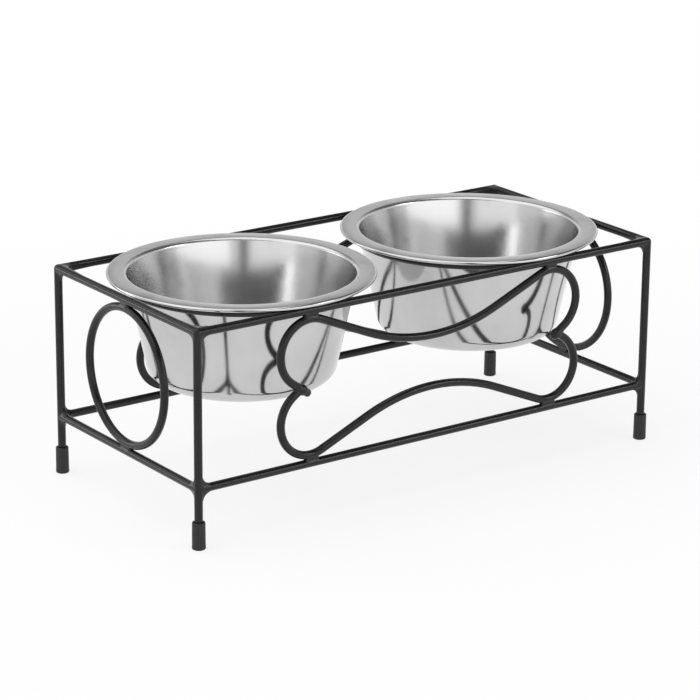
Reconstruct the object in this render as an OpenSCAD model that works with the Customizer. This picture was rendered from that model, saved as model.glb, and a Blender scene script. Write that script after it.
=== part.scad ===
// Raised double bowl stand of welded round wire, with two lift-out bowls.
// +X runs along the length, the front faces -Y, +Z is up.
// The origin is on the floor, under the middle of the frame. Millimetres.

/* [Frame] */
// Leg axis to leg axis along the length
frame_l = 320; // [270:1:380]
// Leg axis to leg axis across the width
frame_w = 147.5; // [120:0.5:180]
// Height of the top rails' axes above the floor
top_h = 125; // [120:0.5:140]
// Height of the bottom rails' axes above the floor
bottom_h = 35; // [30:0.5:40]
// Wire diameter of the whole frame, coating included
wire_d = 4.8; // [4:0.1:5]
// Chamfer round each leg's top end
leg_chamfer = 0.7; // [0.3:0.1:1.2]

/* [Welds] */
// Reach of the weld web in a corner, past the wires' surfaces
weld_reach = 3.2; // [2:0.1:5]
// Thickness of a weld web across the plane of its two wires
weld_t = 2.8; // [2:0.1:3.2]
// Sink of a web's hollow face into the wires
weld_sink = 0.7; // [0.6:0.05:0.9]
// Length of the weld where two wires run side by side
seam_l = 8; // [5:0.5:12]
// Gap that a weld fills between two wires side by side
weld_gap = 0.3; // [0.1:0.05:0.6]
// Gap between a wire's cut end and the wire that it is welded to
cope_gap = 0.02; // [0.01:0.01:0.05]

/* [Bowl rings] */
// Clear gap between a ring and the end rail beside it
ring_end_gap = 4.5; // [1:0.1:6]

/* [Bone outline] */
// Swell of the wire on its radius, where a bend begins or ends
bend_proud = 0.05; // [0.04:0.01:0.1]
// Middle of the bone to each lobe's centre, along the length
lobe_x = 85.5; // [80:0.5:100]
// Slope of the straight run between a lobe and the waist, in degrees
waist_slope = 23; // [19:0.5:26]
// Radius of the waist, to the wire's axis
waist_r = 116; // [90:1:130]
// Turn of a lobe past its outermost point before the straight end, in degrees
notch_turn = 55; // [45:1:60]
// Length of the upper wire's end past the crossing
notch_stub = 4.2; // [3:0.1:6]

/* [Foot caps] */
// Height of a cap
foot_h = 16; // [12:0.5:18]
// Diameter at the floor
foot_d = 7.9; // [7:0.1:9]
// Diameter at the mouth
foot_mouth_d = 7.5; // [6.2:0.1:8]
// Thickness of the cap under the leg
foot_floor = 2.6; // [1.5:0.1:4]
// Edge round at the floor
foot_edge = 0.9; // [0.4:0.1:1.4]
// Clearance between the leg and the cap's bore, on the radius
foot_clear = 0.03; // [0.02:0.01:0.08]

/* [Bowls] */
// Overall height of a bowl
bowl_h = 64; // [50:1:72]
// Sheet thickness
sheet_t = 0.8; // [0.6:0.1:1.2]
// Width of the rim from the wall to its outer edge
rim_w = 11.7; // [10:0.1:12.5]
// Diameter of the bead that the rim's edge is turned under in
bead_d = 2; // [1.9:0.1:2.8]
// Radius under the rim, where it turns down into the wall
rim_turn_r = 3; // [2:0.1:3.5]
// Lean of the wall from upright, in degrees
wall_lean = 12; // [8:0.5:15]
// Outside radius between the wall and the bottom
bottom_r = 10; // [6:0.5:14]
// Rise of the bottom's pressed middle
dish_rise = 1.2; // [0.5:0.1:2]
// Width of the slope round the pressed middle
dish_slope = 4; // [2:0.5:6]
// Flat ring that the bowl stands on when it is out of the frame
stand_w = 5; // [3:0.5:8]
// Clearance between the wall and its ring, on the radius
bowl_play = 0.45; // [0.35:0.05:1]
// Clearance between the rim's bead and the rails under it
seat_gap = 0.3; // [0.2:0.05:0.6]
// Least gap between the two bowls' rims
rim_gap = 3; // [1:0.5:8]

/* [Hidden] */
wire_r = wire_d / 2;
cope_r = wire_r + cope_gap;
leg_x = frame_l / 2;
leg_y = frame_w / 2;
leg_top = top_h + wire_r;
mid_h = (top_h + bottom_h) / 2;
half_h = (top_h - bottom_h) / 2;
beside = wire_d + weld_gap;
rim_over = rim_w - bowl_play - wire_r;
ring_r = min(leg_y - beside, (leg_x - wire_d - ring_end_gap - rim_over - rim_gap / 2) / 2);
ring_x = leg_x - wire_d - ring_end_gap - ring_r;
circle_r = half_h - beside;
web_side = wire_r + weld_reach;
web_cut_r = weld_reach + weld_sink;
lobe_r = (half_h - beside) / 2;
lobe_z = lobe_r;
run_start = [-lobe_x + lobe_r * sin(waist_slope), lobe_z + lobe_r * cos(waist_slope)];
run_l = (lobe_x - (lobe_r + waist_r) * sin(waist_slope)) / cos(waist_slope);
waist_z = run_start[1] - run_l * sin(waist_slope) + waist_r * cos(waist_slope);
notch_a = 180 + notch_turn;
end_start = [-lobe_x + lobe_r * cos(notch_a), lobe_z + lobe_r * sin(notch_a)];
end_l = end_start[1] / cos(notch_turn);
foot_bore_r = wire_r + foot_clear;
leg_foot = foot_floor + foot_clear;
wall_r = ring_r - wire_r - bowl_play;
rim_r = wall_r + rim_w;
bead_r = bead_d / 2;
rim_top = top_h + wire_r + seat_gap + bead_d;
bowl_foot = rim_top - bowl_h;
bead_z = rim_top - bead_r;
bend_gap = wire_r / 12;
arc_step = 6;
bead_step = 15;
trim = 1;
fine = 96;

// A point at radius r and angle a from a centre
function polar(c, r, a) = [c[0] + r * cos(a), c[1] + r * sin(a)];

// Points of an arc from angle a0 to a1, with equal steps of at most d degrees
function arc_pts(c, r, a0, a1, d) =
  let (n = ceil(abs(a1 - a0) / d))
  [for (i = [0 : n]) polar(c, r, a0 + (a1 - a0) * i / n)];

// Straight wire along X, Y or Z, centred
module wire_x(l) {
  rotate([0, 90, 0])
    cylinder(r = wire_r, h = l, center = true, $fn = fine);
}

module wire_y(l) {
  rotate([90, 0, 0])
    cylinder(r = wire_r, h = l, center = true, $fn = fine);
}

// Space that a leg, a long rail or an end rail takes from what is welded to it
module leg_space(sx, sy) {
  translate([sx * leg_x, sy * leg_y, -trim])
    cylinder(r = cope_r, h = leg_top + 2 * trim, $fn = fine);
}

module long_rail_space(sy, z) {
  translate([0, sy * leg_y, z])
    rotate([0, 90, 0])
      cylinder(r = cope_r, h = frame_l + 2 * trim, center = true, $fn = fine);
}

module end_rail_space(sx, z) {
  translate([sx * leg_x, 0, z])
    rotate([90, 0, 0])
      cylinder(r = cope_r, h = frame_w + 2 * trim, center = true, $fn = fine);
}

// Weld web in the corner between a wire along +X and a wire along +Y
module web() {
  linear_extrude(height = weld_t, center = true)
    difference() {
      square(web_side);
      translate([web_side, web_side])
        circle(r = web_cut_r, $fn = fine);
    }
}

// Web between a rail's end and its leg: under the rail, or over it
module rail_web(over) {
  rotate([90, 0, 0])
    mirror([0, over ? 0 : 1, 0])
      web();
}

// Weld between two wires side by side, reaching along +Y from the first wire's axis to the other's
module seam(reach) {
  translate([-seam_l / 2, 0, -weld_t / 2])
    cube([seam_l, reach, weld_t]);
}

// Arc of wire about the Z axis, stopping short of both ends
module wire_arc(r, a0, a1) {
  short_a = bend_gap / r * 180 / PI;
  rotate([0, 0, a0 + short_a])
    rotate_extrude(angle = a1 - a0 - 2 * short_a, $fn = 2 * fine)
      translate([r, 0])
        circle(r = wire_r, $fn = fine);
}

// Straight wire from a point at an angle, starting a little way along
module wire_run(p, a, l) {
  translate([p[0], p[1], 0])
    rotate([0, 0, a])
      translate([bend_gap, 0, 0])
        rotate([0, 90, 0])
          cylinder(r = wire_r, h = l - bend_gap, $fn = fine);
}

// Ball that joins two stretches of wire where a bend begins or ends, its poles along the wire's angle
module bend_ball(p, a) {
  translate([p[0], p[1], 0])
    rotate([0, 0, a])
      rotate([0, 90, 0])
        sphere(r = wire_r + bend_proud, $fn = fine);
}

module wire_hoop(r) {
  rotate_extrude($fn = 2 * fine)
    translate([r, 0])
      circle(r = wire_r, $fn = fine);
}

module leg(sx, sy) {
  translate([sx * leg_x, sy * leg_y, 0])
    rotate_extrude($fn = fine)
      polygon([
        [0, leg_foot], [wire_r, leg_foot],
        [wire_r, leg_top - leg_chamfer], [wire_r - leg_chamfer, leg_top], [0, leg_top]
      ]);
}

// Long rail with its webs, coped at both legs
module long_rail(sy, z, webs_over) {
  difference() {
    translate([0, sy * leg_y, z]) {
      wire_x(frame_l);
      for (sx = [0, 1])
        mirror([sx, 0, 0])
          translate([-leg_x, 0, 0]) {
            rail_web(false);
            if (webs_over)
              rail_web(true);
          }
    }
    for (sx = [-1, 1])
      leg_space(sx, sy);
  }
}

// End rail with its webs, and a flat web to each long rail, coped at both legs
module end_rail(sx, z, webs_over) {
  difference() {
    translate([sx * leg_x, 0, z]) {
      wire_y(frame_w);
      for (sy = [0, 1])
        mirror([0, sy, 0])
          translate([0, -leg_y, 0]) {
            rotate([0, 0, 90])
              rail_web(false);
            if (webs_over)
              rotate([0, 0, 90])
                rail_web(true);
            mirror([sx > 0 ? 1 : 0, 0, 0])
              web();
          }
    }
    for (sy = [-1, 1]) {
      leg_space(sx, sy);
      long_rail_space(sy, z);
    }
  }
}

// Ring level with the top rails, welded to the front and back rails
module ring(sx) {
  difference() {
    translate([sx * ring_x, 0, top_h]) {
      wire_hoop(ring_r);
      for (sy = [0, 1])
        mirror([0, sy, 0])
          translate([0, ring_r, 0])
            seam(leg_y - ring_r);
    }
    for (sy = [-1, 1])
      long_rail_space(sy, top_h);
  }
}

// Hoop that stands between the end rails, welded to both
module end_circle(sx) {
  difference() {
    translate([sx * leg_x, 0, mid_h])
      rotate([90, 0, 90]) {
        wire_hoop(circle_r);
        for (sz = [0, 1])
          mirror([0, sz, 0])
            translate([0, circle_r, 0])
              seam(beside);
      }
    end_rail_space(sx, top_h);
    end_rail_space(sx, bottom_h);
  }
}

// Left half of a bone wire in its own plane, from the notch to the middle
module bone_half(end_extra) {
  wire_run(end_start, notch_turn - 90, end_l + end_extra);
  bend_ball(end_start, notch_turn - 90);
  translate([-lobe_x, lobe_z, 0])
    wire_arc(lobe_r, 90 - waist_slope, notch_a);
  bend_ball(run_start, -waist_slope);
  wire_run(run_start, -waist_slope, run_l - bend_gap);
  bend_ball(polar(run_start, run_l, -waist_slope), -waist_slope);
  translate([-lobe_x, lobe_z + lobe_r, 0])
    seam(beside);
}

// Bone wire with its lobes up, in its own plane
module bone_wire(end_extra) {
  translate([0, waist_z, 0])
    wire_arc(waist_r, 270 - waist_slope, 270 + waist_slope);
  for (sx = [0, 1])
    mirror([sx, 0, 0])
      bone_half(end_extra);
}

// Space that the upper wire's ends take from the lower wire, drawn with its lobes up
module notch_space() {
  notch_l = end_l + notch_stub + trim;
  for (sx = [0, 1])
    mirror([sx, 0, 0])
      translate([end_start[0], -end_start[1], 0])
        rotate([0, 0, 90 - notch_turn])
          rotate([0, 90, 0])
            cylinder(r = cope_r, h = notch_l, $fn = fine);
}

module bone_upper(sy) {
  difference() {
    translate([0, sy * leg_y, mid_h])
      rotate([90, 0, 0])
        bone_wire(notch_stub);
    long_rail_space(sy, top_h);
  }
}

module bone_lower(sy) {
  difference() {
    translate([0, sy * leg_y, mid_h])
      rotate([90, 0, 0])
        mirror([0, 1, 0])
          difference() {
            bone_wire(0);
            notch_space();
          }
    long_rail_space(sy, bottom_h);
  }
}

// Soft cap with a blind bore for the leg
module foot(sx, sy) {
  foot_r = foot_d / 2;
  translate([sx * leg_x, sy * leg_y, 0])
    rotate_extrude($fn = fine)
      polygon(concat(
        [[0, 0]],
        arc_pts([foot_r - foot_edge, foot_edge], foot_edge, -90, 0, bead_step),
        [[foot_mouth_d / 2, foot_h], [foot_bore_r, foot_h], [foot_bore_r, foot_floor], [0, foot_floor]]
      ));
}

// Outline of one face of the bowl's sheet, from the middle of the bottom out to the rim.
// inset is 0 for the outside and the sheet's thickness for the inside.
function bowl_face(inset) =
  let (
    base_z = bowl_foot + inset,
    turn_top = rim_top - sheet_t + inset,
    turn = rim_turn_r - inset,
    corner = bottom_r - inset,
    wall_x = wall_r - inset / cos(wall_lean),
    corner_c_z = base_z + corner,
    corner_c_x = wall_x - (top_h - corner_c_z) * tan(wall_lean) - corner / cos(wall_lean),
    turn_c_z = turn_top - turn,
    turn_c_x = wall_x + (turn_c_z - top_h) * tan(wall_lean) + turn / cos(wall_lean)
  )
  concat(
    [
      [0, base_z + dish_rise],
      [corner_c_x - stand_w - dish_slope, base_z + dish_rise],
      [corner_c_x - stand_w, base_z]
    ],
    arc_pts([corner_c_x, corner_c_z], corner, -90, -wall_lean, arc_step),
    arc_pts([turn_c_x, turn_c_z], turn, 180 - wall_lean, 90, arc_step)
  );

function reversed(l) = [for (i = [len(l) - 1 : -1 : 0]) l[i]];

// Drawn bowl with a flat rim, its edge turned under in a bead
module bowl(sx) {
  bead_c = [rim_r - bead_r, bead_z];
  join_a = asin((bead_r - sheet_t) / bead_r);
  translate([sx * ring_x, 0, 0])
    rotate_extrude($fn = 2 * fine)
      polygon(concat(
        bowl_face(0),
        arc_pts(bead_c, bead_r, -180 - join_a, 90, bead_step),
        reversed(bowl_face(sheet_t))
      ));
}

module leg_front_left() { color("#2b2b2c") leg(-1, -1); }
module leg_front_right() { color("#2b2b2c") leg(1, -1); }
module leg_back_left() { color("#2b2b2c") leg(-1, 1); }
module leg_back_right() { color("#2b2b2c") leg(1, 1); }
module top_rail_front() { color("#2b2b2c") long_rail(-1, top_h, false); }
module top_rail_back() { color("#2b2b2c") long_rail(1, top_h, false); }
module top_rail_left() { color("#2b2b2c") end_rail(-1, top_h, false); }
module top_rail_right() { color("#2b2b2c") end_rail(1, top_h, false); }
module bottom_rail_front() { color("#2b2b2c") long_rail(-1, bottom_h, true); }
module bottom_rail_back() { color("#2b2b2c") long_rail(1, bottom_h, true); }
module bottom_rail_left() { color("#2b2b2c") end_rail(-1, bottom_h, true); }
module bottom_rail_right() { color("#2b2b2c") end_rail(1, bottom_h, true); }
module ring_left() { color("#2b2b2c") ring(-1); }
module ring_right() { color("#2b2b2c") ring(1); }
module end_circle_left() { color("#2b2b2c") end_circle(-1); }
module end_circle_right() { color("#2b2b2c") end_circle(1); }
module bone_front_upper() { color("#2b2b2c") bone_upper(-1); }
module bone_front_lower() { color("#2b2b2c") bone_lower(-1); }
module bone_back_upper() { color("#2b2b2c") bone_upper(1); }
module bone_back_lower() { color("#2b2b2c") bone_lower(1); }
module foot_front_left() { color("#3a3a3a") foot(-1, -1); }
module foot_front_right() { color("#3a3a3a") foot(1, -1); }
module foot_back_left() { color("#3a3a3a") foot(-1, 1); }
module foot_back_right() { color("#3a3a3a") foot(1, 1); }
module bowl_left() { color("#c9cacb") bowl(-1); }
module bowl_right() { color("#c9cacb") bowl(1); }

leg_front_left();
leg_front_right();
leg_back_left();
leg_back_right();
top_rail_front();
top_rail_back();
top_rail_left();
top_rail_right();
bottom_rail_front();
bottom_rail_back();
bottom_rail_left();
bottom_rail_right();
ring_left();
ring_right();
end_circle_left();
end_circle_right();
bone_front_upper();
bone_front_lower();
bone_back_upper();
bone_back_lower();
foot_front_left();
foot_front_right();
foot_back_left();
foot_back_right();
bowl_left();
bowl_right();
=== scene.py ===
import math

import bpy
import numpy as np
from bpy.props import FloatProperty, FloatVectorProperty, PointerProperty
from mathutils import Euler, Matrix, Vector


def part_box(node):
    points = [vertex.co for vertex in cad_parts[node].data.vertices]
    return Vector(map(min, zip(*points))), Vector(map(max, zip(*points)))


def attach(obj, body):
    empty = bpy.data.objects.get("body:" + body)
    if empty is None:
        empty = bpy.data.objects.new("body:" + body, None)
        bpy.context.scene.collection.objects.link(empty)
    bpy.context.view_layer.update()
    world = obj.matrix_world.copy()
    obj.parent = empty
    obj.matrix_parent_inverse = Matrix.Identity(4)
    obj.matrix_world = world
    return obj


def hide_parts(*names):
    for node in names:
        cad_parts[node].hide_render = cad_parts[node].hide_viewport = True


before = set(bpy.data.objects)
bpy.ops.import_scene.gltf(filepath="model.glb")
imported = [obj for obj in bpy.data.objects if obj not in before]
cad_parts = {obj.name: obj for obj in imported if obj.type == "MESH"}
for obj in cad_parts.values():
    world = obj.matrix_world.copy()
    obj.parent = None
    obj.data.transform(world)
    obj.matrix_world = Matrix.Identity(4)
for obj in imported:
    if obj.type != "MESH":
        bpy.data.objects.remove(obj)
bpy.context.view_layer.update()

bl_info = {
    "name": "Dog Feeder Stand",
    "version": (1, 0, 0),
    "blender": (4, 5, 0),
    "location": "3D View > Sidebar > Feeder",
    "description": "Welded wire feeder stand with two lift-out steel bowls",
    "category": "Add Mesh",
}

MM = 0.001

X, Y, Z = np.eye(3)
SIDES = {"left": -1, "right": 1}
FACES = {"front": -1, "back": 1}
LEVELS = {"upper": 1, "lower": -1}


def corners(node):
    """Lowest and highest corner of a CAD node as arrays."""
    low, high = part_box(node)
    return np.array(low), np.array(high)


LEG_LOW, LEG_HIGH = corners("leg_front_right")
WIRE_D = LEG_HIGH[0] - LEG_LOW[0]
RAIL_LOW, RAIL_HIGH = corners("bottom_rail_front")
RING_LOW, RING_HIGH = corners("ring_right")
HOOP_LOW, HOOP_HIGH = corners("end_circle_right")
BONE_HIGH = corners("bone_front_upper")[1]
CAP_LOW, CAP_HIGH = corners("foot_front_right")
BOWL_LOW, BOWL_HIGH = corners("bowl_right")
HOOP_R = (HOOP_HIGH[1] - HOOP_LOW[1] - WIRE_D) / 2

# Skins of the wires: points round a wire, and its rings near a joint, in a bend and along a straight
AROUND = 32
TURNS = np.arange(AROUND) * math.tau / AROUND
FINE_STEP = 0.45 * MM
BEND_STEP = math.radians(2.5)
STRAIGHT_STEP = 20 * MM
# Ends of the wires: steps of the rounding, share of the end inside the last ring, edge of a sawn end
END_STEPS = 6
END_MIDDLE = 0.2
CUT_ROUND = 0.35 * MM

# Coat over a joint: how near it begins, how a skin point walks to its surface, and how far it may move
WELD_ZONE = 3.2 * MM
WALK_STEPS = 12
WALK_SHARE = 0.8
MOST_LIFT = 3.0 * MM
MOST_SINK = 0.9
# A skin dips under the other wire's skin, so that the two never lie in one face
SINK = 0.12 * MM
SINK_RUN = 0.9 * MM

# Hand welding: the larger flat webs of the top corners, and how much one weld differs from the next
TOP_WEB = 1.6
HAND_SEED = 11
WEB_REACH = (0.85, 1.15)
WEB_THICKNESS = (0.9, 1.15)
SEAM_LENGTH = (0.85, 1.2)
SEAM_SLIP = 0.1
SEAM_THICKNESS = (0.95, 1.15)
# Blobs at a notch: how far inwards each lies, and how much it swells past the wire
NOTCH_BEADS = ((0.4 * MM, 0.5 * MM), (1.6 * MM, 0.45 * MM))

# Turned pieces: steps round each, and the radius under which a point lies on the axis
BOWL_STEPS = 192
CAP_STEPS = 64
ON_AXIS = 1e-7
# Bowl's bottom: the flat it stands on and the slope up to its dish
STAND_WIDTH = 5 * MM
DISH_SLOPE = 4 * MM
# Bowl's rim, from the wall outwards: flare, fold, crowned face, lip and hem
FLARE_FOOT = 1.0 * MM
FOLD = 2.2 * MM
FOLD_TURN = math.radians(77)
RIM_FACE = 9.6 * MM
# Painted shade: how far the rim's colour slides towards the darker steel at its outer edge
RIM_PAINTED_SHADE = 0.35
CROWN_IN = 5.4 * MM
CROWN_SAG = 0.1 * MM
LIP_DROP = 1.3 * MM
LIP_PULL = 0.6
LIP_ROUND = 0.4 * MM
# Share of the sheet's thickness that its two faces keep apart inside a tight bend
FACES_APART = 0.98
# Foot cap: rounding at the floor and the mouth, how far it draws in, its play on the leg, its socket
CAP_EDGE = 0.9 * MM
CAP_LIP = 0.6 * MM
CAP_DRAW = 0.2 * MM
CAP_PLAY = 0.03 * MM
CAP_SOCKET = 4 * MM

COAT_NAME = "Powder coated steel wire"

# Studio, in metres: the floor, and how white it looks inside and outside the stand's shadow
FLOOR_RADIUS = 6.0
FLOOR_STEPS = 128
FLOOR_WHITE = 0.8
SHADOW_REACH = 0.3
SENSOR_WIDTH = 36.0
FAR_CLIP = 50.0
# Light tent: heights between which it greys, and the dark opening that the camera looks through
TENT_HEIGHTS = (0.17, 0.55)
OPENING_EDGE = (0.055, 0.085)
OPENING_DARK = 0.9
OPENING_FRONT = (0.3, 0.6)
# Softboxes: name, place, width and height, watts; all point at one height over the middle
LAMP_AIM = (0, 0, 0.08)
SOFTBOXES = [
    ("softbox_top", (-1.4, 0.8, 4.0), (7.5, 7.5), 237.0),
    ("softbox_left", (-1.40, -0.55, 0.55), (1.35, 1.1), 1.6),
    ("softbox_front", (0.15, -1.50, 0.55), (1.8, 1.1), 4.6),
    ("softbox_right", (1.0, -1.15, 0.84), (0.5, 0.45), 3.0),
    ("softbox_back", (-0.85, 1.05, 0.21), (0.6, 0.24), 1.3),
]


def linear(code):
    """Turn an sRGB hex colour into linear red, green, blue and alpha."""
    parts = [int(code[i:i + 2], 16) / 255 for i in (1, 3, 5)]
    return [p / 12.92 if p <= 0.04045 else ((p + 0.055) / 1.055) ** 2.4 for p in parts] + [1.0]


# Settings that every length and every colour shares
LENGTH = {"unit": "LENGTH", "precision": 4}
COLOUR = {"subtype": "COLOR", "size": 4, "min": 0, "max": 1}


class FeederWireSizes(bpy.types.PropertyGroup):
    """Sizes of the welded wire stand."""

    wire: FloatProperty(
        name="Wire", description="Diameter of the coated wire",
        default=WIRE_D, **LENGTH)
    half_length: FloatProperty(
        name="Half length", description="From the middle to a leg's axis, along the stand",
        default=(LEG_LOW[0] + LEG_HIGH[0]) / 2, **LENGTH)
    half_width: FloatProperty(
        name="Half width", description="From the middle to a leg's axis, across the stand",
        default=-(LEG_LOW[1] + LEG_HIGH[1]) / 2, **LENGTH)
    leg_foot: FloatProperty(
        name="Leg foot", description="Height of a leg's lower end, inside its cap",
        default=LEG_LOW[2], **LENGTH)
    top: FloatProperty(
        name="Top rails", description="Height of the top rails' axes",
        default=LEG_HIGH[2] - WIRE_D / 2, **LENGTH)
    bottom: FloatProperty(
        name="Bottom rails", description="Height of the bottom rails' axes",
        default=(RAIL_LOW[2] + RAIL_HIGH[2]) / 2, **LENGTH)
    ring_radius: FloatProperty(
        name="Ring radius", description="Radius of a bowl ring, at the wire's axis",
        default=(RING_HIGH[0] - RING_LOW[0] - WIRE_D) / 2, **LENGTH)
    ring_place: FloatProperty(
        name="Ring place", description="From the middle to a bowl ring's centre",
        default=(RING_HIGH[0] + RING_LOW[0]) / 2, **LENGTH)
    hoop_radius: FloatProperty(
        name="Hoop radius", description="Radius of an end hoop, at the wire's axis",
        default=HOOP_R, **LENGTH)
    lobe_radius: FloatProperty(
        name="Lobe radius", description="Radius of the bone's lobes, at the wire's axis",
        default=HOOP_R / 2, **LENGTH)
    lobe_place: FloatProperty(
        name="Lobe place", description="From the middle to a lobe's centre",
        default=BONE_HIGH[0] - HOOP_R / 2 - WIRE_D / 2, **LENGTH)
    waist_slope: FloatProperty(
        name="Waist slope", description="Slope of the wire from a lobe to the front bone's waist",
        default=math.radians(23), subtype="ANGLE")
    back_waist_slope: FloatProperty(
        name="Back waist slope", description="Slope of the wire from a lobe to the back bone's waist",
        default=math.radians(18.9), subtype="ANGLE")
    waist_radius: FloatProperty(
        name="Waist radius", description="Radius of the bone's waist, at the wire's axis",
        default=116 * MM, **LENGTH)
    notch_turn: FloatProperty(
        name="Notch turn", description="How far past its outer side a lobe turns into the notch",
        default=math.radians(55), subtype="ANGLE")
    left_stub: FloatProperty(
        name="Left stub", description="How far the upper wire's cut end runs past the left crossing",
        default=5.0 * MM, **LENGTH)
    right_stub: FloatProperty(
        name="Right stub", description="How far the upper wire's cut end runs past the right crossing",
        default=2.2 * MM, **LENGTH)
    weld_reach: FloatProperty(
        name="Weld reach", description="How far a corner weld runs out along each wire",
        default=3.8 * MM, **LENGTH)
    weld_thickness: FloatProperty(
        name="Weld thickness", description="Thickness of a corner weld across its plane",
        default=2.8 * MM, **LENGTH)
    seam: FloatProperty(
        name="Seam weld", description="Length of the weld between two wires side by side",
        default=8 * MM, **LENGTH)
    coat_run: FloatProperty(
        name="Coat run", description="How softly weld metal and coating round off a joint",
        default=0.35 * MM, unit="LENGTH", precision=5)


class FeederBowlSizes(bpy.types.PropertyGroup):
    """Sizes of the lift-out bowls and the foot caps."""

    rim_radius: FloatProperty(
        name="Rim radius", description="Outer radius of the bowl's rim",
        default=(BOWL_HIGH[0] - BOWL_LOW[0]) / 2, **LENGTH)
    rim_top: FloatProperty(
        name="Rim top", description="Height of the rim's top with the bowl in its ring",
        default=BOWL_HIGH[2], **LENGTH)
    foot: FloatProperty(
        name="Bowl foot", description="Height of the bowl's underside with the bowl in its ring",
        default=BOWL_LOW[2], **LENGTH)
    sheet: FloatProperty(
        name="Sheet", description="Thickness of the drawn sheet",
        default=0.8 * MM, **LENGTH)
    rim_width: FloatProperty(
        name="Rim width", description="From the wall to the rim's outer edge",
        default=11.5 * MM, **LENGTH)
    curl: FloatProperty(
        name="Edge turn", description="Height of the rim's edge, turned under",
        default=2.0 * MM, **LENGTH)
    lean: FloatProperty(
        name="Wall lean", description="Lean of the wall from upright",
        default=math.radians(12), subtype="ANGLE")
    corner: FloatProperty(
        name="Bottom corner", description="Outside radius between the wall and the bottom",
        default=10 * MM, **LENGTH)
    dish_rise: FloatProperty(
        name="Dish rise", description="Rise of the bottom's pressed middle",
        default=1.2 * MM, **LENGTH)
    cap_diameter: FloatProperty(
        name="Cap diameter", description="Diameter of a foot cap near the floor",
        default=CAP_HIGH[0] - CAP_LOW[0], **LENGTH)
    cap_height: FloatProperty(
        name="Cap height", description="Height of a foot cap",
        default=CAP_HIGH[2] - CAP_LOW[2], **LENGTH)


class FeederColours(bpy.types.PropertyGroup):
    """Colours of the finishes and the studio."""

    coat: FloatVectorProperty(
        name="Coat", description="Satin black powder coat",
        default=linear("#0d0d0e"), **COLOUR)
    coat_worn: FloatVectorProperty(
        name="Coat, thin", description="Powder coat where it lies thinner",
        default=linear("#171718"), **COLOUR)
    vinyl: FloatVectorProperty(
        name="Vinyl", description="Dipped vinyl of the foot caps",
        default=linear("#1a1a1b"), **COLOUR)
    vinyl_bloom: FloatVectorProperty(
        name="Vinyl, bloomed", description="Vinyl where its surface has bloomed paler",
        default=linear("#282829"), **COLOUR)
    steel: FloatVectorProperty(
        name="Steel", description="Stainless steel of the bowls",
        default=linear("#c3c3c3"), **COLOUR)
    steel_pale: FloatVectorProperty(
        name="Steel, pale", description="Stainless steel where it is polished cleaner",
        default=linear("#cbcbcb"), **COLOUR)
    # Darkest steel, for dull patches and for the painted shade across a rim
    steel_dull_and_shade: FloatVectorProperty(
        name="Steel, dull and shaded", description="Darker stainless steel: dull patches, and painted shade across a rim's face",
        default=linear("#969696"), **COLOUR)
    floor: FloatVectorProperty(
        name="Floor", description="Pale studio floor",
        default=linear("#fafafa"), **COLOUR)


class FeederStudio(bpy.types.PropertyGroup):
    """Camera and studio light."""

    place: FloatVectorProperty(
        name="Camera place", description="Where the camera stands",
        subtype="TRANSLATION", unit="LENGTH", default=(-0.99158, -1.36657, 0.61647))
    turn: FloatProperty(
        name="Camera turn", description="Turn of the view from straight on to the front",
        default=math.radians(35.821), subtype="ANGLE")
    tilt: FloatProperty(
        name="Camera tilt", description="Tilt of the view below the horizon",
        default=math.radians(18.055), subtype="ANGLE")
    roll: FloatProperty(
        name="Camera roll", description="Roll of the camera about its view",
        default=math.radians(0.498), subtype="ANGLE")
    lens: FloatProperty(
        name="Lens", description="Focal length on a 36 mm sensor, in millimetres",
        default=153.95, unit="CAMERA")


def add_node(tree, kind, values=None, links=None, **settings):
    """Add a shader node with its settings and socket values, and link what feeds it."""
    node = tree.nodes.new(kind)
    for key, value in settings.items():
        setattr(node, key, value)
    for key, value in (values or {}).items():
        node.inputs[key].default_value = value
    for key, source in (links or {}).items():
        tree.links.new(source, node.inputs[key])
    return node


def new_material(name):
    """A material with an empty node tree."""
    material = bpy.data.materials.new(name)
    material.use_nodes = True
    material.node_tree.nodes.clear()
    return material, material.node_tree


def set_ramp(node, *stops):
    """Give a colour ramp its stops, each a position and a colour."""
    ramp = node.color_ramp
    while len(ramp.elements) < len(stops):
        ramp.elements.new(1.0)
    for element, (position, colour) in zip(ramp.elements, stops):
        element.position = position
        element.color = colour


def powder_coat(colours):
    """Mild steel wire, sprayed with black polyester powder and baked."""
    # The baked powder gives a satin black with soft, wide highlights. It shrinks into a faint orange
    # peel of about 0.8 mm, drawn at 1.3 mm so that it shows, and lies thinner and greyer in patches
    # some 6 mm across.
    material, tree = new_material(COAT_NAME)
    place = add_node(tree, "ShaderNodeTexCoord").outputs["Object"]
    patches = add_node(
        tree, "ShaderNodeTexNoise",
        {"Scale": 1 / (6 * MM), "Detail": 3.0, "Roughness": 0.6}, {"Vector": place})
    peel = add_node(
        tree, "ShaderNodeTexNoise",
        {"Scale": 1 / (1.3 * MM), "Detail": 2.0, "Roughness": 0.6}, {"Vector": place})
    tint = add_node(tree, "ShaderNodeValToRGB", links={"Fac": patches.outputs["Fac"]})
    set_ramp(tint, (0.35, colours.coat), (0.75, colours.coat_worn))
    gloss = add_node(
        tree, "ShaderNodeMapRange", {"From Min": 0.3, "From Max": 0.7, "To Min": 0.19, "To Max": 0.26},
        {"Value": patches.outputs["Fac"]})
    bump = add_node(
        tree, "ShaderNodeBump", {"Strength": 0.6, "Distance": 0.12 * MM}, {"Height": peel.outputs["Fac"]})
    shader = add_node(
        tree, "ShaderNodeBsdfPrincipled", {"IOR": 1.5, "Specular IOR Level": 0.36},
        {"Base Color": tint.outputs["Color"], "Roughness": gloss.outputs["Result"],
         "Normal": bump.outputs["Normal"]})
    add_node(tree, "ShaderNodeOutputMaterial", links={"Surface": shader.outputs["BSDF"]})
    return material


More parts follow.
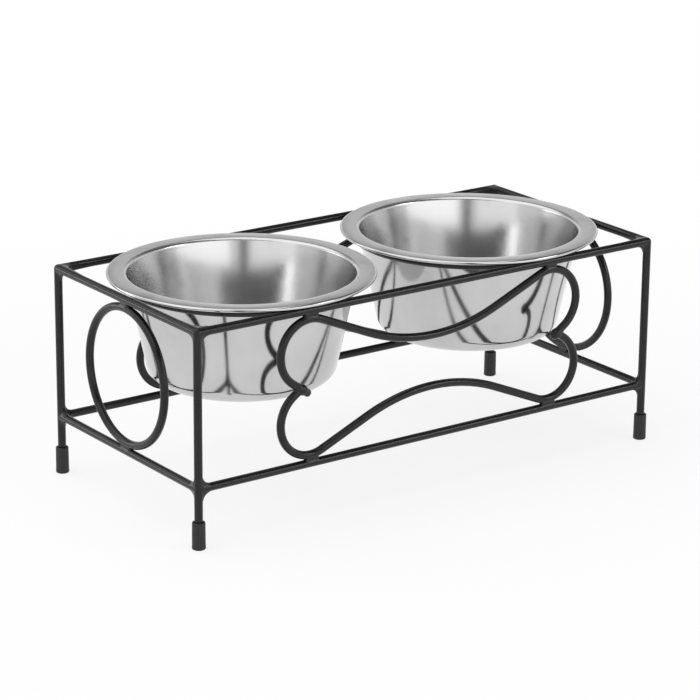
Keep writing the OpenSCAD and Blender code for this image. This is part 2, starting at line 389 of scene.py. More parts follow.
def dipped_vinyl(colours):
    """Soft black PVC, dip moulded into caps."""
    # Dip moulding leaves a matt skin with a fine pebble of about 0.5 mm and paler, bloomed patches.
    material, tree = new_material("Dip moulded vinyl")
    place = add_node(tree, "ShaderNodeTexCoord").outputs["Object"]
    bloom = add_node(
        tree, "ShaderNodeTexNoise",
        {"Scale": 1 / (4 * MM), "Detail": 4.0, "Roughness": 0.6}, {"Vector": place})
    pebble = add_node(
        tree, "ShaderNodeTexNoise", {"Scale": 1 / (0.5 * MM), "Detail": 2.0}, {"Vector": place})
    tint = add_node(tree, "ShaderNodeValToRGB", links={"Fac": bloom.outputs["Fac"]})
    set_ramp(tint, (0.35, colours.vinyl), (0.7, colours.vinyl_bloom))
    gloss = add_node(
        tree, "ShaderNodeMapRange", {"From Min": 0.3, "From Max": 0.7, "To Min": 0.5, "To Max": 0.62},
        {"Value": bloom.outputs["Fac"]})
    bump = add_node(
        tree, "ShaderNodeBump", {"Strength": 0.4, "Distance": 0.06 * MM}, {"Height": pebble.outputs["Fac"]})
    shader = add_node(
        tree, "ShaderNodeBsdfPrincipled", {"IOR": 1.53, "Specular IOR Level": 0.38},
        {"Base Color": tint.outputs["Color"], "Roughness": gloss.outputs["Result"],
         "Normal": bump.outputs["Normal"]})
    add_node(tree, "ShaderNodeOutputMaterial", links={"Surface": shader.outputs["BSDF"]})
    return material


def spun_steel(colours, name, rough, line, depth, grain, rim_shade=None):
    """Stainless steel sheet finished in a lathe, so its marks run round the bowl."""
    # The marks are finer than a tenth of a millimetre on the real sheet and are drawn coarser here, so
    # that they show as faint rings. They stretch each highlight across the rings, and hand polishing
    # leaves cloudier and cleaner patches some 25 mm across.
    material, tree = new_material(name)
    along = add_node(tree, "ShaderNodeUVMap", uv_map="turned").outputs["UV"]
    split = add_node(tree, "ShaderNodeSeparateXYZ", links={"Vector": along})
    place = add_node(tree, "ShaderNodeTexCoord").outputs["Object"]
    marks = add_node(
        tree, "ShaderNodeTexNoise", {"Scale": 1 / line, "Detail": 3.0, "Roughness": 0.7},
        {"W": split.outputs["Y"]}, noise_dimensions="1D")
    clouds = add_node(
        tree, "ShaderNodeTexNoise", {"Scale": 1 / (25 * MM), "Detail": 3.0}, {"Vector": place})
    shade = clouds.outputs["Fac"]
    if rim_shade:
        # Painted shade: the rim's face is coloured darker from its inner edge out to its outer edge,
        # standing in for the darker reflection there.
        across = add_node(
            tree, "ShaderNodeVectorMath", {1: (1.0, 1.0, 0.0)}, {0: place}, operation="MULTIPLY")
        reach = add_node(tree, "ShaderNodeVectorMath", links={0: across.outputs[0]}, operation="LENGTH")
        painted_shade = add_node(
            tree, "ShaderNodeMapRange",
            {"From Min": rim_shade[0], "From Max": rim_shade[1], "To Min": 0.0, "To Max": RIM_PAINTED_SHADE},
            {"Value": reach.outputs["Value"]})
        shade = add_node(
            tree, "ShaderNodeMath", links={0: shade, 1: painted_shade.outputs[0]}, operation="SUBTRACT").outputs[0]
    tint = add_node(tree, "ShaderNodeValToRGB", links={"Fac": shade})
    set_ramp(tint, (0.0, colours.steel_dull_and_shade), (0.35, colours.steel), (0.7, colours.steel_pale))
    gloss = add_node(
        tree, "ShaderNodeMapRange",
        {"From Min": 0.3, "From Max": 0.7, "To Min": rough[0], "To Max": rough[1]},
        {"Value": clouds.outputs["Fac"]})
    bump = add_node(
        tree, "ShaderNodeBump", {"Strength": 0.3, "Distance": depth}, {"Height": marks.outputs["Fac"]})
    around = add_node(tree, "ShaderNodeTangent", direction_type="RADIAL", axis="Z")
    shader = add_node(
        tree, "ShaderNodeBsdfPrincipled", {"Metallic": 1.0, "Anisotropic": grain},
        {"Base Color": tint.outputs["Color"], "Roughness": gloss.outputs["Result"],
         "Normal": bump.outputs["Normal"], "Tangent": around.outputs["Tangent"]})
    add_node(tree, "ShaderNodeOutputMaterial", links={"Surface": shader.outputs["BSDF"]})
    return material


def studio_floor(colours):
    """Matt painted floor, white to the eye and in the steel, that keeps the stand's shadow."""
    material, tree = new_material("Matt studio floor")
    rays = add_node(tree, "ShaderNodeLightPath")
    seen = add_node(
        tree, "ShaderNodeMath", operation="MAXIMUM",
        links={0: rays.outputs["Is Camera Ray"], 1: rays.outputs["Is Glossy Ray"]})
    place = add_node(tree, "ShaderNodeTexCoord").outputs["Object"]
    away = add_node(tree, "ShaderNodeVectorMath", links={0: place}, operation="LENGTH")
    lit = add_node(
        tree, "ShaderNodeMapRange",
        {"From Min": SHADOW_REACH, "From Max": 2 * SHADOW_REACH, "To Min": FLOOR_WHITE, "To Max": 1.0},
        {"Value": away.outputs["Value"]}, interpolation_type="SMOOTHSTEP")
    share = add_node(
        tree, "ShaderNodeMath", links={0: seen.outputs[0], 1: lit.outputs[0]}, operation="MULTIPLY")
    paint = add_node(tree, "ShaderNodeBsdfDiffuse", {"Color": colours.floor})
    white = add_node(tree, "ShaderNodeEmission")
    both = add_node(
        tree, "ShaderNodeMixShader", links={0: share.outputs[0], 1: paint.outputs[0], 2: white.outputs[0]})
    add_node(tree, "ShaderNodeOutputMaterial", links={"Surface": both.outputs[0]})
    return material


class Straight:
    """A straight stretch of wire from start to end."""

    def __init__(self, start, end):
        self.start = np.array(start, float)
        self.way = np.array(end, float) - self.start
        self.length = np.linalg.norm(self.way)
        self.step = STRAIGHT_STEP

    def at(self, along):
        return self.start + np.outer(along / self.length, self.way)

    def heading(self, along):
        return np.tile(self.way / self.length, (len(along), 1))

    def distance(self, points):
        offset = points - self.start
        share = np.clip(offset @ self.way / self.length ** 2, 0.0, 1.0)
        return np.linalg.norm(offset - np.outer(share, self.way), axis=1)


class Bend:
    """A stretch of wire bent round a centre, its angles counted from across towards up."""

    def __init__(self, centre, across, up, radius, first, last):
        self.centre = np.array(centre, float)
        self.across = np.array(across, float)
        self.up = np.array(up, float)
        self.radius = radius
        self.first = first
        self.last = last
        self.length = radius * abs(last - first)
        self.step = radius * BEND_STEP

    def spoke(self, angle):
        return np.outer(np.cos(angle), self.across) + np.outer(np.sin(angle), self.up)

    def angle(self, along):
        return self.first + (self.last - self.first) * along / self.length

    def at(self, along):
        return self.centre + self.radius * self.spoke(self.angle(along))

    def heading(self, along):
        quarter = math.copysign(math.pi / 2, self.last - self.first)
        return self.spoke(self.angle(along) + quarter)

    def distance(self, points):
        offset = points - self.centre
        angle = np.arctan2(offset @ self.up, offset @ self.across)
        middle = (self.first + self.last) / 2
        half = abs(self.last - self.first) / 2
        turned = (angle - middle + math.pi) % math.tau - math.pi
        nearest = self.radius * self.spoke(middle + np.clip(turned, -half, half))
        return np.linalg.norm(offset - nearest, axis=1)


class Wire:
    """One length of wire: stretches end to end, the normal of their plane, and the rounding of each end."""

    def __init__(self, radius, stretches, normal, ends=None):
        self.radius = radius
        self.stretches = stretches
        self.normal = np.array(normal, float)
        self.ends = ends

    def clear(self, points):
        """Distance from each point to the wire's surface, negative inside it."""
        return np.min([s.distance(points) for s in self.stretches], axis=0) - self.radius

    def line(self, others):
        """Centres and headings of the skin's rings, which stand close together near other wires."""
        centres, headings = [], []
        for index, stretch in enumerate(self.stretches):
            along = np.linspace(0.0, stretch.length, math.ceil(stretch.length / FINE_STEP) + 1)
            spare = np.min([other.clear(stretch.at(along)) for other in others], axis=0)
            kept = spare < self.radius + WELD_ZONE
            kept[::max(1, round(stretch.step / FINE_STEP))] = True
            kept[-1] = self.ends is not None
            kept[0] = kept[0] and (index == 0)
            centres.append(stretch.at(along[kept]))
            headings.append(stretch.heading(along[kept]))
        return np.concatenate(centres), np.concatenate(headings)


class Web:
    """Weld metal in the corner between two wires, with a hollow face."""

    FLATNESS = 0.7
    ROUND = 0.9 * MM

    def __init__(self, corner, first, second, wire_radius, reach, thickness):
        self.corner = np.array(corner, float)
        self.first = np.array(first, float)
        self.second = np.array(second, float)
        self.across = np.cross(self.first, self.second)
        self.side = wire_radius + reach
        self.hub = self.side + self.FLATNESS * reach
        self.hollow = math.hypot(self.hub - self.side, self.hub - wire_radius)
        self.half = thickness / 2

    def clear(self, points):
        offset = points - self.corner
        u, v, w = offset @ self.first, offset @ self.second, np.abs(offset @ self.across)
        square = np.maximum(np.maximum(u, v) - self.side, -np.minimum(u, v))
        face = np.maximum(self.hollow - np.hypot(u - self.hub, v - self.hub), square)
        flank = w - self.half
        outer = np.hypot(np.maximum(face + self.ROUND, 0), np.maximum(flank + self.ROUND, 0))
        return outer + np.minimum(np.maximum(face, flank) + self.ROUND, 0) - self.ROUND


class Seam:
    """Weld metal between two wires that lie side by side."""

    ROUND = 1.0 * MM

    def __init__(self, middle, along, reach, length, gap, thickness):
        self.middle = np.array(middle, float)
        self.axes = np.stack([along, reach, np.cross(along, reach)])
        self.half = np.array([length, gap, thickness]) / 2 - self.ROUND

    def clear(self, points):
        past = np.abs((points - self.middle) @ self.axes.T) - self.half
        inside = np.minimum(past.max(axis=1), 0)
        return np.linalg.norm(np.maximum(past, 0), axis=1) + inside - self.ROUND


class Bead:
    """A round blob of weld metal."""

    def __init__(self, middle, radius):
        self.middle = np.array(middle, float)
        self.radius = radius

    def clear(self, points):
        return np.linalg.norm(points - self.middle, axis=1) - self.radius


def bone_stretches(sizes, face, level, past):
    """Stretches of one bone wire from notch to notch; past is how far each end runs past its crossing."""
    up = level * Z
    middle = np.array([0, face * sizes.half_width, (sizes.top + sizes.bottom) / 2])
    radius, turn = sizes.lobe_radius, sizes.notch_turn
    slope = sizes.waist_slope if face < 0 else sizes.back_waist_slope
    notch = math.pi + turn
    place = {side: middle + way * sizes.lobe_place * X + radius * up for side, way in SIDES.items()}
    left = Bend(place["left"], X, up, radius, notch, math.pi / 2 - slope)
    right = Bend(place["right"], X, up, radius, math.pi / 2 + slope, -turn)
    run = (sizes.lobe_place - (radius + sizes.waist_radius) * math.sin(slope)) / math.cos(slope)
    run_start = left.at(np.array([left.length]))[0]
    run_end = run_start + run * (math.cos(slope) * X - math.sin(slope) * up)
    hub = run_end + sizes.waist_radius * (math.sin(slope) * X + math.cos(slope) * up)
    low = 1.5 * math.pi
    waist = Bend(hub, X, up, sizes.waist_radius, low - slope, low + slope)
    end_start = left.at(np.zeros(1))[0]
    to_crossing = radius * (1 - math.sin(turn)) / math.cos(turn)
    end_way = math.sin(turn) * X - math.cos(turn) * up
    ends = {side: end_start + (to_crossing + past[side]) * end_way for side in SIDES}
    flip = np.array([-1, 1, 1])
    return [
        Straight(ends["left"], end_start), left, Straight(run_start, run_end), waist,
        Straight(run_end * flip, run_start * flip), right, Straight(end_start * flip, ends["right"] * flip),
    ]


def notch_place(sizes, face, way):
    """The point where a bone's two wires cross at its notch."""
    radius, turn = sizes.lobe_radius, sizes.notch_turn
    inward = radius * math.cos(turn) - radius * (1 - math.sin(turn)) * math.tan(turn)
    return np.array([
        way * (sizes.lobe_place + inward), face * sizes.half_width, (sizes.top + sizes.bottom) / 2])


def frame_wires(sizes):
    """Every wire of the stand, by the name of its CAD node."""
    radius = sizes.wire / 2
    long, wide = sizes.half_length, sizes.half_width
    middle = (sizes.top + sizes.bottom) / 2
    blunt = (radius, radius)
    wires = {}
    for face, fy in FACES.items():
        for side, sx in SIDES.items():
            post = np.array([sx * long, fy * wide, 0])
            wires[f"leg_{face}_{side}"] = Wire(
                radius, [Straight(post + sizes.leg_foot * Z, post + sizes.top * Z)], X, (CUT_ROUND, radius))
        for name, height in (("top", sizes.top), ("bottom", sizes.bottom)):
            axis = fy * wide * Y + height * Z
            end = (long - radius) * X
            wires[f"{name}_rail_{face}"] = Wire(radius, [Straight(axis - end, axis + end)], Z, blunt)
        stubs = {"upper": (sizes.left_stub, sizes.right_stub), "lower": (-radius, -radius)}
        for level, way in LEVELS.items():
            past = dict(zip(SIDES, stubs[level]))
            wires[f"bone_{face}_{level}"] = Wire(
                radius, bone_stretches(sizes, fy, way, past), Y, (CUT_ROUND, CUT_ROUND))
    for side, sx in SIDES.items():
        for name, height in (("top", sizes.top), ("bottom", sizes.bottom)):
            axis = sx * long * X + height * Z
            end = (wide - radius) * Y
            wires[f"{name}_rail_{side}"] = Wire(radius, [Straight(axis - end, axis + end)], Z, blunt)
        ring = sx * sizes.ring_place * X + sizes.top * Z
        wires[f"ring_{side}"] = Wire(radius, [Bend(ring, X, Y, sizes.ring_radius, 0, math.tau)], Z)
        hoop = sx * long * X + middle * Z
        wires[f"end_circle_{side}"] = Wire(radius, [Bend(hoop, Y, Z, sizes.hoop_radius, 0, math.tau)], X)
    return wires


def frame_welds(sizes):
    """Weld metal of every joint, each a little different, as welding by hand leaves it."""
    hand = np.random.default_rng(HAND_SEED)
    radius = sizes.wire / 2
    middle = (sizes.top + sizes.bottom) / 2
    welds = []

    def web(corner, first, second, share=1.0):
        reach = share * sizes.weld_reach * hand.uniform(*WEB_REACH)
        thickness = share * sizes.weld_thickness * hand.uniform(*WEB_THICKNESS)
        welds.append(Web(corner, first, second, radius, reach, thickness))

    def seam(place, along, reach, gap):
        length = sizes.seam * hand.uniform(*SEAM_LENGTH)
        slip = hand.uniform(-SEAM_SLIP, SEAM_SLIP) * length * along
        thickness = sizes.weld_thickness * hand.uniform(*SEAM_THICKNESS)
        welds.append(Seam(place + slip, along, reach, length, gap, thickness))

    for fy in FACES.values():
        for sx in SIDES.values():
            post = np.array([sx * sizes.half_length, fy * sizes.half_width, 0])
            for height, ways, share in ((sizes.top, [-Z], TOP_WEB), (sizes.bottom, [-Z, Z], 1.0)):
                corner = post + height * Z
                web(corner, -sx * X, -fy * Y, share)
                for way in ways:
                    web(corner, -sx * X, way)
                    web(corner, -fy * Y, way)
            for way, height in ((1, sizes.top), (-1, sizes.bottom)):
                lobe_gap = (sizes.top - sizes.bottom) / 2 - 2 * sizes.lobe_radius
                seam(np.array([sx * sizes.lobe_place, fy * sizes.half_width, height - way * lobe_gap / 2]),
                     X, Z, lobe_gap)
            ring_gap = sizes.half_width - sizes.ring_radius
            seam(np.array([sx * sizes.ring_place, fy * (sizes.half_width - ring_gap / 2), sizes.top]),
                 X, Y, ring_gap)
            crossing = notch_place(sizes, fy, sx)
            inward = -sx * math.sin(sizes.notch_turn) * X - math.cos(sizes.notch_turn) * Z
            for shift, swell in NOTCH_BEADS:
                welds.append(Bead(crossing + shift * inward, radius + swell))
    for sx in SIDES.values():
        for way, height in ((1, sizes.top), (-1, sizes.bottom)):
            hoop_gap = (sizes.top - sizes.bottom) / 2 - sizes.hoop_radius
            seam(np.array([sx * sizes.half_length, 0, height - way * hoop_gap / 2]), Y, Z, hoop_gap)
    return welds


def run_coat(wire, points, outward, others, welds, softness):
    """Move skin points out to where coating and weld metal run the wires together."""
    near_wires = [other for other in others if other.clear(points).min() < WELD_ZONE]
    near_welds = [weld for weld in welds if weld.clear(points).min() < WELD_ZONE]
    if not near_wires + near_welds:
        return points
    spare = np.min([body.clear(points) for body in near_wires + near_welds], axis=0)
    close = spare < WELD_ZONE
    start, way = points[close], outward[close]
    lift = np.zeros(len(start))
    for _ in range(WALK_STEPS):
        at = start + way * lift[:, None]
        own = wire.clear(at)
        gaps = np.array([body.clear(at) for body in near_wires])
        fills = np.array([body.clear(at) for body in near_welds])
        bodies = np.concatenate([own[None], gaps.reshape(-1, len(at)), fills.reshape(-1, len(at))])
        field = -softness * np.log(np.exp(-bodies / softness).sum(axis=0))
        past = np.clip((own - gaps.min(axis=0)) / SINK_RUN, 0, 1) if len(gaps) else 0.0
        lift = np.clip(lift - WALK_SHARE * (field + SINK * past), -MOST_SINK * wire.radius, MOST_LIFT)
    moved = points.copy()
    moved[close] = start + way * lift[:, None]
    return moved


def end_rings(wire, centre, heading, side, rounding):
    """Points and outward ways of the rings that close a wire's end, its edge rounded."""
    spoke = np.outer(np.cos(TURNS), side) + np.outer(np.sin(TURNS), wire.normal)
    flat = wire.radius - rounding
    rings = []
    for tilt in np.linspace(0, math.pi / 2, END_STEPS)[1:]:
        way = math.cos(tilt) * spoke + math.sin(tilt) * heading
        rings.append((centre + flat * spoke + rounding * way, way))
    if flat > 0:
        ahead = np.tile(heading, (AROUND, 1))
        rings.append((centre + flat * END_MIDDLE * spoke + rounding * heading, ahead))
    else:
        rings.pop()
        way = math.sin(END_MIDDLE) * spoke + math.cos(END_MIDDLE) * heading
        rings.append((centre + rounding * way, way))
    return rings


def new_piece(name, points, faces, materials, body, slot, place=(0, 0, 0)):
    """Make a mesh piece that stands for the CAD node of its name and rides on a body."""
    mesh = bpy.data.meshes.new(name)
    mesh.from_pydata(points, [], faces)
    mesh.update()
    mesh.shade_smooth()
    for material in materials:
        mesh.materials.append(material)
    piece = bpy.data.objects.new(f"{name}_coated" if slot == "coated_wire" else f"{name}_made", mesh)
    piece.location = place
    bpy.context.scene.collection.objects.link(piece)
    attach(piece, body)
    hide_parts(name)
    return piece


def bridge(first, second):
    """Faces between two rings of point numbers."""
    return [(first[i], first[(i + 1) % AROUND], second[(i + 1) % AROUND], second[i]) for i in range(AROUND)]


def make_wire(name, wires, welds, sizes, material):
    """Skin one wire, with the coating run over its welds, and put it in place of its CAD node."""
    wire = wires[name]
    others = [other for key, other in wires.items() if key != name]
    centres, headings = wire.line(others)
    sides = np.cross(wire.normal, headings)
    spokes = (np.cos(TURNS)[None, :, None] * sides[:, None, :]
              + np.sin(TURNS)[None, :, None] * wire.normal[None, None, :])
    rings = [(centre + wire.radius * spoke, spoke) for centre, spoke in zip(centres, spokes)]
    if wire.ends is not None:
        start = end_rings(wire, centres[0], -headings[0], sides[0], wire.ends[0])
        end = end_rings(wire, centres[-1], headings[-1], sides[-1], wire.ends[1])
        rings = start[::-1] + rings + end
    points = np.concatenate([ring for ring, _ in rings])
    outward = np.concatenate([way for _, way in rings])
    points = run_coat(wire, points, outward, others, welds, sizes.coat_run)
    numbers = [list(range(i * AROUND, (i + 1) * AROUND)) for i in range(len(rings))]
    faces = []
    for first, second in zip(numbers, numbers[1:]):
        faces += bridge(second, first)
    if wire.ends is None:
        faces += bridge(numbers[0], numbers[-1])
    else:
        faces += [numbers[0], numbers[-1][::-1]]
    new_piece(name, points, faces, [material], "frame", "coated_wire")


def make_wires(names):
    """Make the named wires with the stand's sizes and its powder coat."""
    sizes = bpy.context.scene.feeder_wire
    wires, welds = frame_wires(sizes), frame_welds(sizes)
    coat = bpy.data.materials.get(COAT_NAME) or powder_coat(bpy.context.scene.feeder_colours)
    for name in names:
        make_wire(name, wires, welds, sizes, coat)


def arc(centre, radius, first, last, steps):
    """Points of an arc in a turned section, angles in radians."""
    angles = np.linspace(first, last, steps + 1)
    return [(centre[0] + radius * math.cos(a), centre[1] + radius * math.sin(a)) for a in angles]


def turned(name, section, slots, steps, centre, materials, body, slot):
    """Turn a closed section about an upright axis; slots gives each stretch of it a material."""
    count = len(section)
    runs = [math.dist(section[i], section[i + 1]) for i in range(count - 1)]
    lengths = np.concatenate([[0.0], np.cumsum(runs)])
    points, first_of = [], []
    for radius, height in section:
        first_of.append(len(points))
        if radius < ON_AXIS:
            points.append((0.0, 0.0, height))
            continue
        for step in range(steps):
            angle = math.tau * step / steps
            points.append((radius * math.cos(angle), radius * math.sin(angle), height))
    faces, places, marks = [], [], []
    for i in range(count - 1):
        low_axis, high_axis = section[i][0] < ON_AXIS, section[i + 1][0] < ON_AXIS
        for step in range(steps):
            after = (step + 1) % steps
            left, right = step / steps, (step + 1) / steps
            low, high = lengths[i], lengths[i + 1]
            a, b = first_of[i] + step, first_of[i] + after
            c, d = first_of[i + 1] + after, first_of[i + 1] + step
            if low_axis:
                faces.append((first_of[i], c, d))
                places += [(left, low), (right, high), (left, high)]
            elif high_axis:
                faces.append((a, b, first_of[i + 1]))
                places += [(left, low), (right, low), (left, high)]
            else:
                faces.append((a, b, c, d))
                places += [(left, low), (right, low), (right, high), (left, high)]
            marks.append(slots[i])
    piece = new_piece(name, points, faces, materials, body, slot, centre)
    layer = piece.data.uv_layers.new(name="turned")
    layer.data.foreach_set("uv", np.array(places).ravel())
    piece.data.polygons.foreach_set("material_index", marks)


def between(start, end, share):
    """The point a share of the way from start to end."""
    return tuple(a + share * (b - a) for a, b in zip(start, end))


def pulled(start, corner, end, pull, steps):
    """Points of a smooth bend from start to end, pulled towards a corner."""
    first, last = between(start, corner, pull), between(end, corner, pull)
    points = []
    for share in np.linspace(0, 1, steps + 1):
        rest = 1 - share
        weights = (rest ** 3, 3 * rest ** 2 * share, 3 * rest * share ** 2, share ** 3)
        parts = list(zip(weights, (start, first, last, end)))
        points.append(tuple(sum(w * p[i] for w, p in parts) for i in (0, 1)))
    return points


def set_off(face, thickness):
    """The other face of a sheet, set off to the right of the way the first face is drawn."""
    line = np.array(face)
    way = np.gradient(line, axis=0)
    way /= np.linalg.norm(way, axis=1)[:, None]
    other = line + thickness * np.stack([way[:, 1], -way[:, 0]], axis=1)
    other[0, 0] = 0.0
    # Inside a bend tighter than the sheet is thick, points that come too near the first face drop out.
    near = np.linalg.norm(other[:, None] - line[None], axis=2).min(axis=1)
    return [tuple(point) for point in other[near > FACES_APART * thickness]]


def bowl_section(sizes, seat):
    """Closed section of a bowl, with the material of each stretch: 0 the inside, 1 the rim, 2 the rest."""
    lean, top, edge = sizes.lean, sizes.rim_top, sizes.rim_radius
    slant = math.tan(lean)
    base = sizes.foot + sizes.sheet
    corner = sizes.corner - sizes.sheet
    wall = edge - sizes.rim_width - sizes.sheet / math.cos(lean)
    corner_z = base + corner
    corner_x = wall - (seat - corner_z) * slant - corner / math.cos(lean)
    dish_end = corner_x - STAND_WIDTH - DISH_SLOPE
    dish = [(share * dish_end, base + sizes.dish_rise) for share in np.linspace(0, 1, 6)]
    slope = [
        (dish_end + DISH_SLOPE * share, base + sizes.dish_rise * (0.5 + 0.5 * math.cos(math.pi * share)))
        for share in np.linspace(0, 1, 10)[1:]]
    stand = [(corner_x - STAND_WIDTH / 2, base)]
    turn = arc((corner_x, corner_z), corner, -math.pi / 2, -lean, 16)
    wall_end = (wall + FLARE_FOOT * slant, seat + FLARE_FOOT)
    rise = [between(turn[-1], wall_end, share) for share in np.linspace(0, 1, 9)[1:]]
    face_start, face_half = edge - RIM_FACE, RIM_FACE - CROWN_IN
    crown = [
        (edge - CROWN_IN + share * face_half, top - CROWN_SAG * share ** 2)
        for share in np.linspace(-1, 1, 13)]
    fold = arc((face_start, crown[0][1] - FOLD), FOLD, math.pi / 2 + FOLD_TURN, math.pi / 2, 14)
    flare = [between(wall_end, fold[0], share) for share in np.linspace(0, 1, 5)[1:-1]]
    outer_rim = pulled(crown[-1], (edge, crown[-1][1]), (edge, top - LIP_DROP), LIP_PULL, 12)[1:]
    inside = dish + slope + stand + turn + rise + flare
    face = inside + fold + crown[1:] + outer_rim
    hem = arc((edge - LIP_ROUND, top - sizes.curl + LIP_ROUND), LIP_ROUND, 0, -math.pi, 8)
    section = face + hem + set_off(face, sizes.sheet)[::-1]
    slots = [0] * len(inside) + [1] * (len(fold + crown) - 2)
    slots += [2] * (len(section) - 1 - len(slots))
    return section, slots


def cap_section(sizes, wire_radius):
    """Section of a foot cap: rounded at the floor, drawn in to a softly bevelled mouth round the leg."""
    radius, top = sizes.cap_diameter / 2, sizes.cap_height
    mouth = radius - CAP_DRAW
    bore = wire_radius + CAP_PLAY
    deep = top - CAP_SOCKET
    base = [(0.0, 0.0), (radius - 2 * CAP_EDGE, 0.0)]
    corner = arc((radius - CAP_EDGE, CAP_EDGE), CAP_EDGE, -math.pi / 2, 0, 8)
    side = [(radius - 0.12 * MM, 3 * MM), (radius - 0.15 * MM, top * 0.6), (mouth, top - 2 * MM)]
    lip = arc((mouth - CAP_LIP, top - CAP_LIP), CAP_LIP, 0, math.pi / 2, 6)
    socket = [(bore + 0.25 * MM, top - 0.05 * MM), (bore, top - 0.35 * MM), (bore, deep), (0.0, deep)]
    return base + corner + side + lip + socket


class FEEDER_OT_legs(bpy.types.Operator):
    """Make the four legs"""

    bl_idname = "feeder.legs"
    bl_label = "Legs"

    def execute(self, context):
        make_wires([f"leg_{face}_{side}" for face in FACES for side in SIDES])
        return {"FINISHED"}


class FEEDER_OT_rails(bpy.types.Operator):
    """Make the top and bottom rails"""

    bl_idname = "feeder.rails"
    bl_label = "Rails"

    def execute(self, context):
        make_wires([f"{level}_rail_{way}" for level in ("top", "bottom") for way in (*FACES, *SIDES)])
        return {"FINISHED"}


class FEEDER_OT_rings(bpy.types.Operator):
    """Make the two rings that hold the bowls"""

    bl_idname = "feeder.rings"
    bl_label = "Bowl Rings"

    def execute(self, context):
        make_wires([f"ring_{side}" for side in SIDES])
        return {"FINISHED"}


class FEEDER_OT_hoops(bpy.types.Operator):
    """Make the hoop in each end of the stand"""

    bl_idname = "feeder.hoops"
    bl_label = "End Hoops"

    def execute(self, context):
        make_wires([f"end_circle_{side}" for side in SIDES])
        return {"FINISHED"}


class FEEDER_OT_bones(bpy.types.Operator):
    """Make the bone outline in the front and the back, each of two wires"""

    bl_idname = "feeder.bones"
    bl_label = "Bone Outlines"

    def execute(self, context):
        make_wires([f"bone_{face}_{level}" for face in FACES for level in LEVELS])
        return {"FINISHED"}


class FEEDER_OT_caps(bpy.types.Operator):
    """Make the four foot caps"""

    bl_idname = "feeder.caps"
    bl_label = "Foot Caps"

    def execute(self, context):
        wire, bowl = context.scene.feeder_wire, context.scene.feeder_bowl
        section = cap_section(bowl, wire.wire / 2)
        vinyl = dipped_vinyl(context.scene.feeder_colours)
        for face, fy in FACES.items():
            for side, sx in SIDES.items():
                turned(f"foot_{face}_{side}", section, [0] * (len(section) - 1), CAP_STEPS,
                       (sx * wire.half_length, fy * wire.half_width, 0), [vinyl], "frame", "foot_cap")
        return {"FINISHED"}


class FEEDER_OT_bowls(bpy.types.Operator):
    """Make the two lift-out bowls"""

    bl_idname = "feeder.bowls"
    bl_label = "Bowls"

    def execute(self, context):
        colours = context.scene.feeder_colours
        inside = spun_steel(colours, "Spun stainless sheet", (0.15, 0.21), 1.2 * MM, 0.005 * MM, 0.3)
        bowl = context.scene.feeder_bowl
        # The rim's face gets painted shade, darker from its inner edge outwards
        rim_shade = (bowl.rim_radius - RIM_FACE, bowl.rim_radius)
        rim = spun_steel(
            colours, "Satin turned stainless rim", (0.18, 0.26), 1.0 * MM, 0.004 * MM, 0.5, rim_shade)
        outside = spun_steel(colours, "Polished stainless sheet", (0.10, 0.14), 1.2 * MM, 0.006 * MM, 0.2)
        section, slots = bowl_section(bowl, context.scene.feeder_wire.top)
        for side, sx in SIDES.items():
            place = (sx * context.scene.feeder_wire.ring_place, 0, 0)
            turned(f"bowl_{side}", section, slots, BOWL_STEPS, place,
                   [inside, rim, outside], f"{side}_bowl", "bowl_steel")
        return {"FINISHED"}


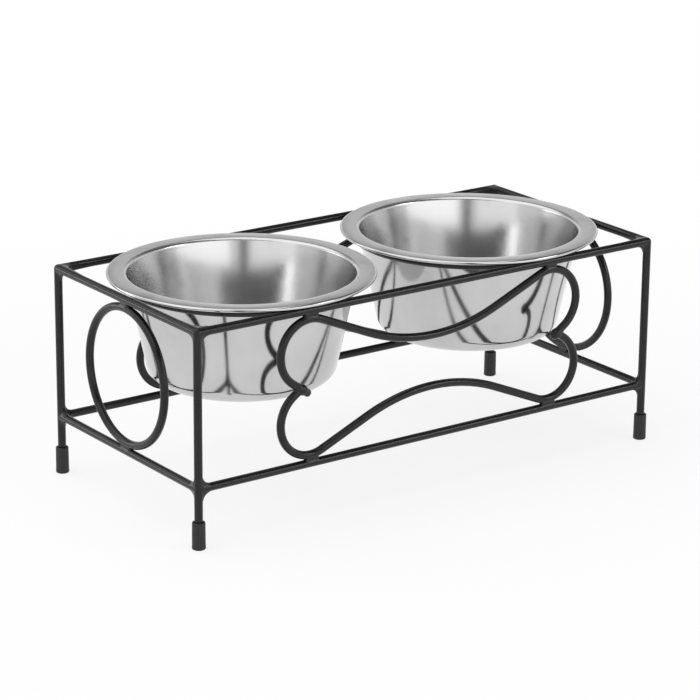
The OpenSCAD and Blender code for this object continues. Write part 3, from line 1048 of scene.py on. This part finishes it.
class FEEDER_OT_stage(bpy.types.Operator):
    """Make the camera, the pale floor and the studio light"""

    bl_idname = "feeder.stage"
    bl_label = "Studio"

    def execute(self, context):
        scene = context.scene
        studio = scene.feeder_studio
        camera = bpy.data.objects.new("camera", bpy.data.cameras.new("camera"))
        camera.data.lens = studio.lens
        camera.data.sensor_width = SENSOR_WIDTH
        camera.data.clip_end = FAR_CLIP
        level = Euler((math.pi / 2 - studio.tilt, 0, -studio.turn)).to_matrix()
        camera.matrix_world = Matrix.Translation(studio.place) @ (
            level @ Matrix.Rotation(studio.roll, 3, "Z")).to_4x4()
        scene.collection.objects.link(camera)
        scene.camera = camera

        rim = np.arange(FLOOR_STEPS) * math.tau / FLOOR_STEPS
        floor_mesh = bpy.data.meshes.new("floor")
        floor_mesh.from_pydata(
            [(FLOOR_RADIUS * math.cos(a), FLOOR_RADIUS * math.sin(a), 0) for a in rim],
            [], [range(FLOOR_STEPS)])
        floor_mesh.materials.append(studio_floor(scene.feeder_colours))
        floor = bpy.data.objects.new("floor", floor_mesh)
        scene.collection.objects.link(floor)

        for name, place, size, power in SOFTBOXES:
            lamp = bpy.data.lights.new(name, "AREA")
            lamp.shape = "RECTANGLE"
            lamp.size, lamp.size_y = size
            lamp.energy = power
            softbox = bpy.data.objects.new(name, lamp)
            softbox.location = place
            aim = Vector(LAMP_AIM) - Vector(place)
            softbox.rotation_euler = aim.to_track_quat("-Z", "Y").to_euler()
            scene.collection.objects.link(softbox)

        world = bpy.data.worlds.new("studio")
        scene.world = world
        world.use_nodes = True
        tree = world.node_tree
        tree.nodes.clear()
        rays = add_node(tree, "ShaderNodeLightPath")
        way = add_node(tree, "ShaderNodeTexCoord").outputs["Generated"]
        height = add_node(tree, "ShaderNodeSeparateXYZ", links={"Vector": way}).outputs["Z"]
        shade = add_node(tree, "ShaderNodeValToRGB", links={"Fac": height})
        set_ramp(shade, (TENT_HEIGHTS[0], linear("#ffffff")), (TENT_HEIGHTS[1], linear("#6c6c6c")))
        # The opening that the camera looks through shows as a dark band in the steel.
        sine, cosine = math.sin(studio.turn), math.cos(studio.turn)
        across = add_node(
            tree, "ShaderNodeVectorMath", {1: (cosine, -sine, 0)}, {0: way}, operation="DOT_PRODUCT")
        aside = add_node(tree, "ShaderNodeMath", links={0: across.outputs["Value"]}, operation="ABSOLUTE")
        gap = add_node(
            tree, "ShaderNodeMapRange",
            {"From Min": OPENING_EDGE[0], "From Max": OPENING_EDGE[1],
             "To Min": OPENING_DARK, "To Max": 0.0},
            {"Value": aside.outputs[0]}, interpolation_type="SMOOTHSTEP")
        ahead = add_node(
            tree, "ShaderNodeVectorMath", {1: (-sine, -cosine, 0)}, {0: way}, operation="DOT_PRODUCT")
        front = add_node(
            tree, "ShaderNodeMapRange",
            {"From Min": OPENING_FRONT[0], "From Max": OPENING_FRONT[1]}, {"Value": ahead.outputs["Value"]})
        dark = add_node(
            tree, "ShaderNodeMath", links={0: gap.outputs[0], 1: front.outputs[0]}, operation="MULTIPLY")
        light = add_node(tree, "ShaderNodeMath", {0: 1.0}, {1: dark.outputs[0]}, operation="SUBTRACT")
        tent = add_node(
            tree, "ShaderNodeBackground",
            links={"Color": shade.outputs["Color"], "Strength": light.outputs[0]})
        white = add_node(tree, "ShaderNodeBackground", {"Color": linear("#ffffff")})
        seen = add_node(
            tree, "ShaderNodeMixShader",
            links={0: rays.outputs["Is Camera Ray"], 1: tent.outputs[0], 2: white.outputs[0]})
        add_node(tree, "ShaderNodeOutputWorld", links={"Surface": seen.outputs[0]})

        scene.view_settings.view_transform = "Standard"
        return {"FINISHED"}


class FEEDER_PT_panel(bpy.types.Panel):
    """Pieces, sizes and colours of the feeder stand"""

    bl_label = "Feeder Stand"
    bl_idname = "FEEDER_PT_panel"
    bl_space_type = "VIEW_3D"
    bl_region_type = "UI"
    bl_category = "Feeder"

    def draw(self, context):
        for operator in OPERATORS:
            self.layout.operator(operator.bl_idname)
        for name, kind in GROUPS.items():
            box = self.layout.box()
            for key in kind.__annotations__:
                box.prop(getattr(context.scene, name), key)


OPERATORS = (
    FEEDER_OT_stage, FEEDER_OT_legs, FEEDER_OT_rails, FEEDER_OT_rings, FEEDER_OT_hoops,
    FEEDER_OT_bones, FEEDER_OT_caps, FEEDER_OT_bowls,
)
GROUPS = {
    "feeder_wire": FeederWireSizes, "feeder_bowl": FeederBowlSizes,
    "feeder_colours": FeederColours, "feeder_studio": FeederStudio,
}
CLASSES = (*GROUPS.values(), *OPERATORS, FEEDER_PT_panel)


def register():
    for cls in CLASSES:
        bpy.utils.register_class(cls)
    for name, kind in GROUPS.items():
        setattr(bpy.types.Scene, name, PointerProperty(type=kind))


def unregister():
    for name in GROUPS:
        delattr(bpy.types.Scene, name)
    for cls in reversed(CLASSES):
        bpy.utils.unregister_class(cls)


def main():
    register()
    bpy.ops.feeder.stage()
    bpy.ops.feeder.legs()
    bpy.ops.feeder.rails()
    bpy.ops.feeder.rings()
    bpy.ops.feeder.hoops()
    bpy.ops.feeder.bones()
    bpy.ops.feeder.caps()
    bpy.ops.feeder.bowls()


if __name__ == "__main__":
    main()
